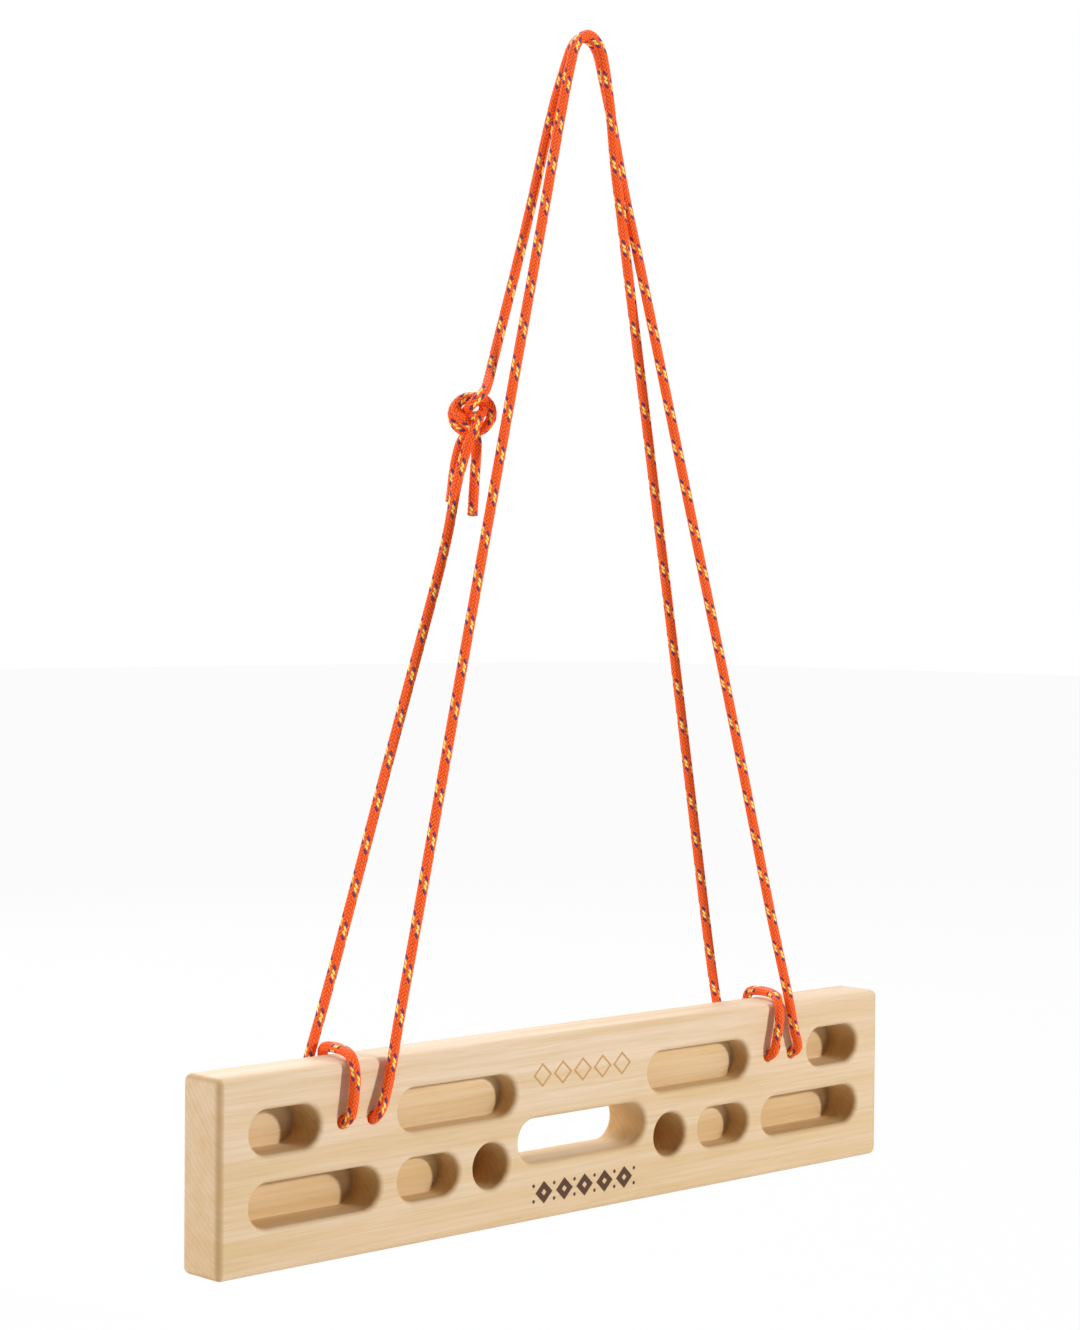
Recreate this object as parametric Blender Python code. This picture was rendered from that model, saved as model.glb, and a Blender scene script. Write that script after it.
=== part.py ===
# A portable wooden hangboard that hangs on one loop of cord.
# World frame: +X along the board to the right, +Y from the front face into the board, +Z up.
# The origin is the hanging point, inside the top of the cord's back bight.
# Route points and sizes written as board places are measured from the middle of the board's
# front top edge, in millimetres, and placed by board_point().

import math

import bmesh
import bpy
import numpy as np
from mathutils import Vector

for old in list(bpy.data.objects):
    bpy.data.objects.remove(old, do_unlink=True)

MM = 0.001

# Board thickness and the heights down its face, which add up to the board's height.
BOARD_THICKNESS = 30.0
TOP_TO_UPPER_ROW = 29.5
UPPER_TO_LOWER_ROW = 36.5
LOWER_ROW_TO_BOTTOM = 34.0
TOP_TO_CORD_HOLES = 30.0
SLOT_RISE = 9.6
EDGE_RADIUS = 4.0
LIP_RADIUS = 3.0
LIP_TURN = 80.0
CUT_ABOVE_FACE = 0.2

# Upper row, from the middle outwards, between straight pocket walls.
MIDDLE_TO_WIDE_SHALLOW = 51.0
WIDE_SHALLOW_LENGTH = 82.6
POCKET_TO_CORD_HOLE = 17.4
CORD_HOLE_SPACING = 20.0
CORD_HOLE_TO_POCKET = 15.0
SHORT_DEEP_LENGTH = 44.2
POCKET_TO_END = 19.8

# Lower row. Its outer ends line up with those of the upper row.
SLOT_HALF_LENGTH = 48.2
SLOT_TO_MONO = 8.2
MONO_DIAMETER = 24.4
MONO_TO_POCKET = 11.2
WALL_BETWEEN_POCKETS = 12.6

POCKET_HEIGHT = 22.6
SLOT_HEIGHT = 23.7

# Wood left behind each blind pocket.
FLOOR_BEHIND_SHALLOW = 18.0
FLOOR_BEHIND_MEDIUM = 15.0
FLOOR_BEHIND_DEEP = 8.5
FLOOR_BEHIND_MONO = 6.0

# Cord, its holes and the gap left where one stretch of it ends and the next begins.
CORD_DIAMETER = 5.5
CORD_HOLE_CLEARANCE = 1.5
CORD_HOLE_LIP = 1.2
CORD_CUT_GAP = 0.4

# Hanging point: inside the crown of the back bight, which carries the board, as the board's
# middle lies behind both bights. Its height above the board and its depth behind the face.
BIGHT_CROWN_HEIGHT = 541.2
BIGHT_CROWN_DEPTH = 8.2

# Levels below the hanging point where the bights end and the necks bend,
# above the board where the hitches begin, and above and below the knot's centre.
NECK_LEVELS = (14.0, 32.0, 50.0)
HITCH_LEVEL = 20.0
KNOT_ABOVE = 17.0
KNOT_BELOW = 19.0

# Knot: its centre on the back left leg, and how far its frame is turned about the upright.
KNOT_CENTRE = (-69.5, 18.5, 334.0)
KNOT_TURN = 43.7

# Evenness of the curves: corners round a pocket's end, a lip and an outer edge, the turn and
# length at which the cord takes a further point, and the straight run at each end of a stretch,
# which sets its end face square to the cord.
END_SEGMENTS = 10
LIP_SEGMENTS = 3
EDGE_SEGMENTS = 3
TRACE_STEPS = 24
MAX_TURN = 16.0
MAX_RUN = 60.0
END_RUN = 1.2

# Route of the cord from the right tail's end to the left tail's end. Legs are in board places.
# The bights' heights are taken from the crown. The knot's points are in its own frame: right, up
# and towards the front. Each hitch is worked out from its two cord holes: its way in is measured
# from the first hole, the front face and the board's top, its way out from the second hole, the
# back face and the top, and its shares say how far from the first hole to the second each point
# of the turn over the top edge lies.
RIGHT_TAIL = [(0.2, -55.0, -1.5), (0.9, -41.0, -0.9), (1.6, -29.0, 0.1), (2.0, -22.5, 1.0),
              (2.2, -17.2, 1.9)]
COIL = [(1.7, -12.3, 3.1), (-0.3, -7.9, 3.9), (-4.1, -4.7, 4.5), (-7.7, -1.4, 4.5), (-8.5, 3.3, 3.7),
        (-5.5, 7.0, 2.8), (-0.7, 8.2, 2.2), (4.2, 7.6, 1.7), (8.3, 5.0, 0.7), (10.0, 0.5, -0.6),
        (9.1, -4.2, -1.6), (5.9, -8.0, -2.3), (1.4, -9.9, -2.5), (-3.6, -9.8, -2.4), (-7.9, -7.5, -2.6),
        (-10.4, -3.2, -3.2), (-10.4, 1.7, -3.9), (-7.9, 5.8, -5.0), (-3.6, 8.0, -6.1), (1.2, 8.0, -7.4),
        (5.1, 5.7, -9.3), (5.1, 1.6, -11.8), (1.1, -0.9, -12.9), (-3.5, -1.4, -11.3), (-5.1, -0.3, -7.0),
        (-3.8, 0.8, -2.3), (-2.6, 1.6, 2.5), (-1.0, 3.4, 6.8), (2.2, 6.4, 8.8), (5.4, 9.9, 7.6),
        (7.2, 13.4, 4.6)]
LEFT_BACK = [(-56.0, 17.0, 364.0)]
BACK_BIGHT = [(-36.7, 13.5, -107.0), (-18.4, 10.4, -36.2), (-11.6, 8.9, -15.2), (-7.0, 8.2, -4.9),
              (1.4, 8.2, -0.2), (9.6, 8.2, -4.6), (14.2, 8.1, -15.2), (21.3, 7.8, -39.2),
              (28.4, 7.6, -66.2), (34.9, 7.7, -88.2), (41.4, 6.7, -111.2)]
RIGHT_FRONT = [(69.6, 2.0, 325.0), (121.6, -2.6, 143.0), (148.6, -3.6, 50.0)]
RIGHT_WAY_IN = [(-11.0, -3.9, 14.0), (-5.7, -4.4, -5.0), (-2.6, -5.0, -18.0)]
RIGHT_SHARES = (0.01, 0.04, 0.10, 0.14, 0.15, 0.18, 0.29, 0.50, 0.69, 0.79, 0.84, 0.94, 1.01)
RIGHT_WAY_OUT = [(-3.8, 4.8, -14.0), (-11.0, 5.0, 15.0)]
RIGHT_BACK = [(119.0, 30.5, 101.0), (66.8, 19.2, 318.0)]
FRONT_BIGHT = [(34.7, 9.2, -109.2), (28.2, 6.7, -88.2), (22.3, 5.0, -66.2), (16.9, 3.3, -39.2),
               (11.0, 2.4, -15.2), (6.4, 2.2, -4.4), (-1.6, 2.2, 0.2), (-9.8, 2.2, -4.6),
               (-14.4, 2.2, -15.2), (-20.2, 2.1, -37.2), (-35.4, 1.4, -101.2)]
LEFT_FRONT = [(-90.4, -1.1, 213.0), (-130.2, -3.3, 49.0)]
LEFT_WAY_IN = [(12.2, -3.8, 14.0), (8.2, -4.3, -3.0), (3.8, -5.1, -17.0)]
LEFT_SHARES = (0.01, 0.05, 0.19, 0.32, 0.38, 0.44, 0.55, 0.69, 0.79, 0.82, 0.84, 0.90, 0.96)
LEFT_WAY_OUT = [(2.4, 5.5, -14.0), (9.6, 5.4, 8.0)]
LOWER_LEFT_BACK = [(-149.4, 33.2, 47.0), (-124.8, 28.9, 130.0), (-99.8, 24.6, 213.0), (-82.9, 22.4, 271.0)]
HOOK = [(-8.3, -39.6, 7.6), (-4.8, -26.0, 8.8), (-2.5, -18.4, 9.4), (-0.6, -13.7, 9.8), (1.4, -9.1, 9.8),
        (2.9, -4.7, 8.1), (3.5, -1.9, 4.0), (3.4, -1.6, 0.1), (3.0, -2.8, -3.7), (1.5, -5.9, -7.3),
        (-1.6, -9.4, -8.6), (-5.0, -13.0, -7.6), (-7.0, -17.2, -5.6)]
LEFT_TAIL = [(-8.4, -22.8, -3.5), (-9.5, -29.0, -1.6), (-10.4, -37.5, 0.0), (-11.5, -48.0, 0.4)]


def board_point(x, y, z):
    """World place, in metres, of a place given in millimetres from the board's front top edge."""
    crown_inside = BIGHT_CROWN_HEIGHT - CORD_DIAMETER / 2
    return Vector((x * MM, (y - BIGHT_CROWN_DEPTH) * MM, (z - crown_inside) * MM))


def material(name, colour, roughness, metallic=0.0):
    made = bpy.data.materials.new(name)
    made.use_nodes = True
    shader = made.node_tree.nodes["Principled BSDF"]
    shader.inputs["Base Color"].default_value = (*colour, 1.0)
    shader.inputs["Roughness"].default_value = roughness
    shader.inputs["Metallic"].default_value = metallic
    return made


def add_mesh(name, mesh, surface=None):
    piece = bpy.data.objects.new(name, mesh)
    bpy.context.scene.collection.objects.link(piece)
    if surface:
        mesh.materials.append(surface)
    return piece


def board_block(surface):
    """The plain board: a block with every outer edge rounded, its origin at the hanging point."""
    half_length = (MIDDLE_TO_WIDE_SHALLOW + WIDE_SHALLOW_LENGTH + POCKET_TO_CORD_HOLE + CORD_HOLE_SPACING
                   + CORD_HOLE_TO_POCKET + SHORT_DEEP_LENGTH + POCKET_TO_END)
    height = TOP_TO_UPPER_ROW + UPPER_TO_LOWER_ROW + LOWER_ROW_TO_BOTTOM
    shape = bmesh.new()
    bmesh.ops.create_cube(shape, size=1.0)
    centre = board_point(0.0, BOARD_THICKNESS / 2, -height / 2)
    for corner in shape.verts:
        corner.co = centre + Vector((corner.co.x * 2 * half_length * MM, corner.co.y * BOARD_THICKNESS * MM,
                                     corner.co.z * height * MM))
    bmesh.ops.bevel(shape, geom=shape.edges[:], offset=EDGE_RADIUS * MM, segments=EDGE_SEGMENTS,
                    profile=0.5, affect="EDGES")
    mesh = bpy.data.meshes.new("board")
    shape.to_mesh(mesh)
    shape.free()
    return add_mesh("board", mesh, surface)


def slot_outline(x_low, x_high, z_middle, half_height, y):
    """A long hole's outline at one depth: two half circles joined by straight runs."""
    points = []
    for end_x, start in ((x_high - half_height, -math.pi / 2), (x_low + half_height, math.pi / 2)):
        for step in range(END_SEGMENTS + 1):
            angle = start + math.pi * step / END_SEGMENTS
            points.append(board_point(end_x + half_height * math.cos(angle), y,
                                      z_middle + half_height * math.sin(angle)))
    if x_high - x_low <= 2 * half_height + 0.001:
        del points[END_SEGMENTS]
        del points[-1]
    return points


def lip_profile(radius, outwards):
    """Widening and depth of each ring of a rounded lip, from just outside the face to the straight wall."""
    rings = []
    tangent = math.radians(LIP_TURN)
    widen = radius * (1 - math.cos(tangent))
    sink = radius * (1 - math.sin(tangent))
    rings.append((widen + (sink + CUT_ABOVE_FACE) * math.tan(tangent), -CUT_ABOVE_FACE))
    for step in range(LIP_SEGMENTS + 1):
        angle = tangent * (1 - step / LIP_SEGMENTS)
        rings.append((radius * (1 - math.cos(angle)), radius * (1 - math.sin(angle))))
    return rings if outwards else rings[::-1]


def add_opening(shape, x_low, x_high, z_middle, height, lip, floor):
    """Add one cutting body: a lipped hole that stops at its floor, or runs through where floor is none."""
    rings = [(widen, depth) for widen, depth in lip_profile(lip, True)]
    if floor is None:
        rings += [(widen, BOARD_THICKNESS - depth) for widen, depth in lip_profile(lip, False)]
    else:
        rings.append((0.0, BOARD_THICKNESS - floor))
    loops = []
    for widen, depth in rings:
        outline = slot_outline(x_low - widen, x_high + widen, z_middle, height / 2 + widen, depth)
        loops.append([shape.verts.new(point) for point in outline])
    count = len(loops[0])
    for outer, inner in zip(loops, loops[1:]):
        for here in range(count):
            after = (here + 1) % count
            shape.faces.new((outer[here], outer[after], inner[after], inner[here]))
    shape.faces.new(loops[0][::-1])
    shape.faces.new(loops[-1])


def hole_places():
    """Places along the board, from its middle, of the inner and the outer cord hole."""
    inner = MIDDLE_TO_WIDE_SHALLOW + WIDE_SHALLOW_LENGTH + POCKET_TO_CORD_HOLE
    return inner, inner + CORD_HOLE_SPACING


def opening_places():
    """Every opening as low x, high x, z, height, lip and floor, mirrored left and right but for the slot."""
    upper = -TOP_TO_UPPER_ROW
    lower = upper - UPPER_TO_LOWER_ROW
    inner_end = MIDDLE_TO_WIDE_SHALLOW + WIDE_SHALLOW_LENGTH
    inner_hole, outer_hole = hole_places()
    outer_start = outer_hole + CORD_HOLE_TO_POCKET
    outer_end = outer_start + SHORT_DEEP_LENGTH
    mono = SLOT_HALF_LENGTH + SLOT_TO_MONO
    mono_end = mono + MONO_DIAMETER
    hole = CORD_DIAMETER + CORD_HOLE_CLEARANCE
    one_side = [
        (MIDDLE_TO_WIDE_SHALLOW, inner_end, upper, POCKET_HEIGHT, LIP_RADIUS, FLOOR_BEHIND_SHALLOW),
        (outer_start, outer_end, upper, POCKET_HEIGHT, LIP_RADIUS, FLOOR_BEHIND_DEEP),
        (mono, mono_end, lower, MONO_DIAMETER, LIP_RADIUS, FLOOR_BEHIND_MONO),
        (mono_end + MONO_TO_POCKET, inner_end, lower, POCKET_HEIGHT, LIP_RADIUS, FLOOR_BEHIND_MEDIUM),
        (inner_end + WALL_BETWEEN_POCKETS, outer_end, lower, POCKET_HEIGHT, LIP_RADIUS, FLOOR_BEHIND_DEEP),
    ]
    line = -TOP_TO_CORD_HOLES
    for middle in (inner_hole, outer_hole):
        one_side.append((middle - hole / 2, middle + hole / 2, line, hole, CORD_HOLE_LIP, None))
    places = [(-SLOT_HALF_LENGTH, SLOT_HALF_LENGTH, lower + SLOT_RISE, SLOT_HEIGHT, LIP_RADIUS, None)]
    for low, high, *rest in one_side:
        places.append((low, high, *rest))
        places.append((-high, -low, *rest))
    return places


def make_board(surface):
    board = board_block(surface)
    shape = bmesh.new()
    for place in opening_places():
        add_opening(shape, *place)
    bmesh.ops.recalc_face_normals(shape, faces=shape.faces[:])
    mesh = bpy.data.meshes.new("opening_cutters")
    shape.to_mesh(mesh)
    shape.free()
    cutters = add_mesh("opening_cutters", mesh)
    cutters.hide_render = True
    cutters.display_type = "WIRE"
    cut = board.modifiers.new("openings", "BOOLEAN")
    cut.operation = "DIFFERENCE"
    cut.solver = "EXACT"
    cut.use_self = True
    cut.object = cutters
    return board


def hitch_points(first, second, way_in, shares, way_out):
    """One hitch: in at the first hole, up behind, over the top edge, in at the second, up behind."""
    back = BOARD_THICKNESS
    line = -TOP_TO_CORD_HOLES
    approach = [(first + x, y, z) for x, y, z in way_in]
    into = [(first + 0.3, -4.4, line + 3.5), (first, -0.8, line + 0.3), (first, 6.0, line),
            (first, back - 6.5, line)]
    turn = [(back + 0.6, line + 0.6), (back + 3.8, line + 4.6), (back + 3.6, -14.0), (back + 3.2, -3.0),
            (back + 1.3, 2.4), (back - 5.0, 4.2), (back / 2, 4.7), (4.8, 4.1), (-1.6, 1.5), (-4.4, -3.8),
            (-5.2, -10.0), (-5.3, -19.0), (-4.5, line + 3.6)]
    over = [(first + share * (second - first), y, z) for share, (y, z) in zip(shares, turn)]
    out = [(second, -0.8, line + 0.3), (second, 6.0, line), (second, back - 6.5, line),
           (second, back + 0.6, line + 0.6), (second + 0.4, back + 4.2, line + 4.6)]
    leave = [(second + x, back + y, z) for x, y, z in way_out]
    return approach + into + over + out + leave


def knot_point(right, up, front):
    """Board place of a point given in the knot's own frame, which faces the way the knot is seen."""
    turn = math.radians(KNOT_TURN)
    x = KNOT_CENTRE[0] + right * math.cos(turn) - front * math.sin(turn)
    y = KNOT_CENTRE[1] - right * math.sin(turn) - front * math.cos(turn)
    return (x, y, KNOT_CENTRE[2] + up)


def cord_route():
    """Every route point of the cord, in board places, from the right tail's end to the left tail's end."""
    inner, outer = hole_places()
    knot_coil = [knot_point(*place) for place in RIGHT_TAIL + COIL]
    back_bight = [(x, y, BIGHT_CROWN_HEIGHT + drop) for x, y, drop in BACK_BIGHT]
    right_hitch = hitch_points(outer, inner, RIGHT_WAY_IN, RIGHT_SHARES, RIGHT_WAY_OUT)
    front_bight = [(x, y, BIGHT_CROWN_HEIGHT + drop) for x, y, drop in FRONT_BIGHT]
    left_hitch = hitch_points(-inner, -outer, LEFT_WAY_IN, LEFT_SHARES, LEFT_WAY_OUT)
    knot_hook = [knot_point(*place) for place in HOOK + LEFT_TAIL]
    return (knot_coil + LEFT_BACK + back_bight + RIGHT_FRONT + right_hitch + RIGHT_BACK + front_bight
            + LEFT_FRONT + left_hitch + LOWER_LEFT_BACK + knot_hook)


def smooth_trace(route):
    """Close points along the natural cubic spline through the route, spaced by the root of each chord."""
    places = np.array(route)
    spans = np.sqrt(np.linalg.norm(np.diff(places, axis=0), axis=1))
    count = len(places)
    system = np.eye(count)
    wanted = np.zeros((count, 3))
    for i in range(1, count - 1):
        before, after = spans[i - 1], spans[i]
        system[i, i - 1:i + 2] = (before, 2 * (before + after), after)
        wanted[i] = 6 * ((places[i + 1] - places[i]) / after - (places[i] - places[i - 1]) / before)
    bend = np.linalg.solve(system, wanted)
    trace = []
    for i, span in enumerate(spans):
        for step in range(TRACE_STEPS):
            t = span * step / TRACE_STEPS
            rest = span - t
            trace.append((bend[i] * rest ** 3 + bend[i + 1] * t ** 3) / (6 * span)
                         + (places[i] / span - bend[i] * span / 6) * rest
                         + (places[i + 1] / span - bend[i + 1] * span / 6) * t)
    trace.append(places[-1])
    return np.array(trace)


def crossings(trace, along, level):
    """Lengths along the cord at which it passes a height above the board's top, in order."""
    height = trace[:, 2] - level
    found = []
    for i in np.nonzero(height[:-1] * height[1:] < 0)[0]:
        share = height[i] / (height[i] - height[i + 1])
        found.append(along[i] + share * (along[i + 1] - along[i]))
    return found


def stretch_points(trace, along, start, end):
    """Points of one stretch: its ends, and those where the cord has turned or run far enough."""
    def at(length):
        return np.array([np.interp(length, along, trace[:, k]) for k in range(3)])

    inside = np.nonzero((along > start + 2 * END_RUN) & (along < end - 2 * END_RUN))[0]
    kept = [at(start), at(start + END_RUN)]
    last_length = start
    heading = kept[1] - kept[0]
    for i in inside:
        step = trace[i] - trace[i - 1]
        cosine = np.dot(step, heading) / (np.linalg.norm(step) * np.linalg.norm(heading))
        turned = math.degrees(math.acos(max(-1.0, min(1.0, cosine))))
        if turned > MAX_TURN or along[i] - last_length > MAX_RUN:
            kept.append(trace[i])
            last_length = along[i]
            heading = step
    kept += [at(end - END_RUN), at(end)]
    return [board_point(*place) for place in kept]


def add_cord(name, points, surface):
    line = bpy.data.curves.new(name, "CURVE")
    line.dimensions = "3D"
    line.bevel_depth = CORD_DIAMETER / 2 * MM
    line.bevel_resolution = 3
    line.use_fill_caps = True
    run = line.splines.new("POLY")
    run.points.add(len(points) - 1)
    for knot, place in zip(run.points, points):
        knot.co = (*place, 1.0)
    run.use_smooth = True
    line.materials.append(surface)
    piece = bpy.data.objects.new(name, line)
    bpy.context.scene.collection.objects.link(piece)
    return piece


def least_gap(trace, along):
    """Least gap between the cord and another part of itself, and where it is."""
    thin = slice(None, None, 3)
    places = trace[thin]
    lengths = along[thin]
    least = (1e9, None)
    for i, place in enumerate(places):
        apart = np.linalg.norm(places - place, axis=1)
        apart[np.abs(lengths - lengths[i]) < 3 * CORD_DIAMETER] = 1e9
        nearest = int(apart.argmin())
        if apart[nearest] < least[0]:
            least = (apart[nearest], place)
    return least[0] - CORD_DIAMETER, least[1]


def make_cord(surface):
    trace = smooth_trace(cord_route())
    along = np.concatenate([[0.0], np.cumsum(np.linalg.norm(np.diff(trace, axis=0), axis=1))])
    hang = BIGHT_CROWN_HEIGHT - CORD_DIAMETER / 2
    neck_top, neck_middle, neck_end = (crossings(trace, along, hang - level) for level in NECK_LEVELS)
    hitch = crossings(trace, along, HITCH_LEVEL)
    above_knot = crossings(trace, along, KNOT_CENTRE[2] + KNOT_ABOVE)
    below_knot = crossings(trace, along, KNOT_CENTRE[2] - KNOT_BELOW)
    cuts = [
        ("knot_right_tail", 0.0),
        ("knot_coil", below_knot[0]),
        ("left_back_leg_upper", above_knot[0]),
        ("left_back_lower_neck", neck_end[0]),
        ("left_back_upper_neck", neck_middle[0]),
        ("back_bight", neck_top[0]),
        ("right_front_upper_neck", neck_top[1]),
        ("right_front_lower_neck", neck_middle[1]),
        ("right_front_leg", neck_end[1]),
        ("right_hitch", hitch[0]),
        ("right_back_leg", hitch[1]),
        ("right_back_lower_neck", neck_end[2]),
        ("right_back_upper_neck", neck_middle[2]),
        ("front_bight", neck_top[2]),
        ("left_front_upper_neck", neck_top[3]),
        ("left_front_lower_neck", neck_middle[3]),
        ("left_front_leg", neck_end[3]),
        ("left_hitch", hitch[2]),
        ("left_back_leg_lower", hitch[3]),
        ("knot_hook", below_knot[4]),
        ("knot_left_tail", below_knot[5]),
        ("end", along[-1]),
    ]
    for (name, start), (_, end) in zip(cuts, cuts[1:]):
        first = start + (CORD_CUT_GAP / 2 if start > 0 else 0.0)
        last = end - (CORD_CUT_GAP / 2 if end < along[-1] else 0.0)
        add_cord(name, stretch_points(trace, along, first, last), surface)
    gap, place = least_gap(trace, along)
    print("cord length", round(along[-1]), "mm")
    print("least gap to itself", round(gap, 2), "mm near", place.round(1))


pale_wood = material("pale_wood", (0.68, 0.52, 0.36), 0.62)
orange_cord = material("orange_cord", (0.80, 0.13, 0.02), 0.75)
make_board(pale_wood)
make_cord(orange_cord)
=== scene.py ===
import math

import bmesh
import bpy
import numpy as np
from mathutils import Matrix, Vector


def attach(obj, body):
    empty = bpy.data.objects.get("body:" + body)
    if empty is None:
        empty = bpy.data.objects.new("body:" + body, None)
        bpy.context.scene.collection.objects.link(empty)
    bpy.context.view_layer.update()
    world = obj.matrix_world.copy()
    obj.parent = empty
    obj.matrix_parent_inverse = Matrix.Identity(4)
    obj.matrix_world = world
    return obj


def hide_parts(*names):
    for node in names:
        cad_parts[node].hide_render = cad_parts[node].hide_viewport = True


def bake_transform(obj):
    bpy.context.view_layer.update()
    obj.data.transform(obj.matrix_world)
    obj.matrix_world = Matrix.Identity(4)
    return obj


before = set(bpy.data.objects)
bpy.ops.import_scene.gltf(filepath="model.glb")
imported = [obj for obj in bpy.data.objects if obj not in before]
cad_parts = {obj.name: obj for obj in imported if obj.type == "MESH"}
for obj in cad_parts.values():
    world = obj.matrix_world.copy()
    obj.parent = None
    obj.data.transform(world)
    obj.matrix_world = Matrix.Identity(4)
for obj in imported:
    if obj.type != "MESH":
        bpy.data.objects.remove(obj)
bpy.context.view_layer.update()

# Lengths below are millimetres in the board's own frame: x from its middle, y from its front
# face into the wood, z from its top face. The world's origin is the hanging point.
hangingPoint = np.array([0.0, 8.2, 538.45])


def toWorld(places):
    # metres in the world = (place - hanging point) / 1000
    return (np.asarray(places, float) - hangingPoint) / 1000.0


def toLinear(hexCode):
    # sRGB to linear: ((c + 0.055) / 1.055) to the power 2.4, or c / 12.92 where c is small
    c = np.array([int(hexCode[i:i + 2], 16) for i in (1, 3, 5)]) / 255.0
    linear = np.where(c <= 0.04045, c / 12.92, ((c + 0.055) / 1.055) ** 2.4)
    return (*linear.tolist(), 1.0)


def shownOutput(source):
    # a node stands for its first output in use
    if isinstance(source, bpy.types.NodeSocket):
        return source
    return next(socket for socket in source.outputs if socket.enabled)


def addNode(tree, kind, settings=None, links=None):
    # settings are properties or socket values, links are the sockets that other nodes feed
    node = tree.nodes.new(kind)
    for key, value in (settings or {}).items():
        if key == "stops":
            ramp = node.color_ramp
            while len(ramp.elements) < len(value):
                ramp.elements.new(1.0)
            for element, (position, colour) in zip(ramp.elements, value):
                element.position = position
                element.color = colour
        elif isinstance(key, str) and hasattr(node, key):
            setattr(node, key, value)
        else:
            node.inputs[key].default_value = value
    for key, source in (links or {}).items():
        tree.links.new(shownOutput(source), node.inputs[key])
    return node


def gridMesh(name, points, uv=None):
    # a grid of points (rows, columns, 3): each cell is one quad, the columns wrap round, and one
    # face closes the first row and one the last
    rows, columns = points.shape[:2]
    index = np.arange(rows * columns).reshape(rows, columns)
    after = np.roll(index, -1, axis=1)
    quads = np.stack([index[:-1], after[:-1], after[1:], index[1:]], axis=-1).reshape(-1, 4)
    faces = quads.tolist() + [index[0, ::-1].tolist(), index[-1].tolist()]
    mesh = bpy.data.meshes.new(name)
    mesh.from_pydata(points.reshape(-1, 3).tolist(), [], faces)
    if uv is not None:
        turns, along = uv
        step = (turns[1:] - turns[:-1])[None, :, None]
        corner = np.zeros((rows - 1, columns, 4, 2))
        corner[..., 0] = turns[:-1][None, :, None] + np.array([0, 1, 1, 0]) * step
        corner[..., 1] = np.stack([along[:-1], along[:-1], along[1:], along[1:]], -1)[:, None, :]
        ends = [np.stack([turns[:-1][::-1], np.full(columns, along[0])], -1),
                np.stack([turns[:-1], np.full(columns, along[-1])], -1)]
        flat = np.concatenate([corner.reshape(-1, 2), *ends])
        layer = mesh.uv_layers.new(name="cordSurface")
        layer.data.foreach_set("uv", flat.astype(np.float32).ravel())
    mesh.shade_smooth()
    return mesh


def showPiece(name, mesh, material):
    piece = bpy.data.objects.new(name, mesh)
    bpy.context.scene.collection.objects.link(piece)
    if material is not None:
        mesh.materials.append(material)
    return piece


# Camera, at the place that the board's edges and pockets give in the photograph.
cameraPlace = {
    "eye": (-1.09929, -1.12030, -0.30250),   # metres
    "yaw": 0.76287, "pitch": -0.02340, "roll": 0.00830,   # radians
    "lens": 77.656, "sensorHeight": 36.0,   # millimetres
    "farthest": 50.0,   # metres
}


def makeCamera(place):
    yaw, pitch, roll = place["yaw"], place["pitch"], place["roll"]
    ahead = Vector((math.sin(yaw) * math.cos(pitch), math.cos(yaw) * math.cos(pitch), math.sin(pitch)))
    right = Vector((math.cos(yaw), -math.sin(yaw), 0.0))
    up = right.cross(ahead)
    side = right * math.cos(roll) + up * math.sin(roll)
    top = up * math.cos(roll) - right * math.sin(roll)
    data = bpy.data.cameras.new("studioCamera")
    data.sensor_fit = "VERTICAL"
    data.sensor_height = place["sensorHeight"]
    data.lens = place["lens"]
    data.clip_end = place["farthest"]
    camera = bpy.data.objects.new("studioCamera", data)
    camera.matrix_world = Matrix((side, top, -ahead)).transposed().to_4x4()
    camera.location = place["eye"]
    bpy.context.scene.collection.objects.link(camera)
    bpy.context.scene.camera = camera


makeCamera(cameraPlace)
print("camera set")


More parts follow.
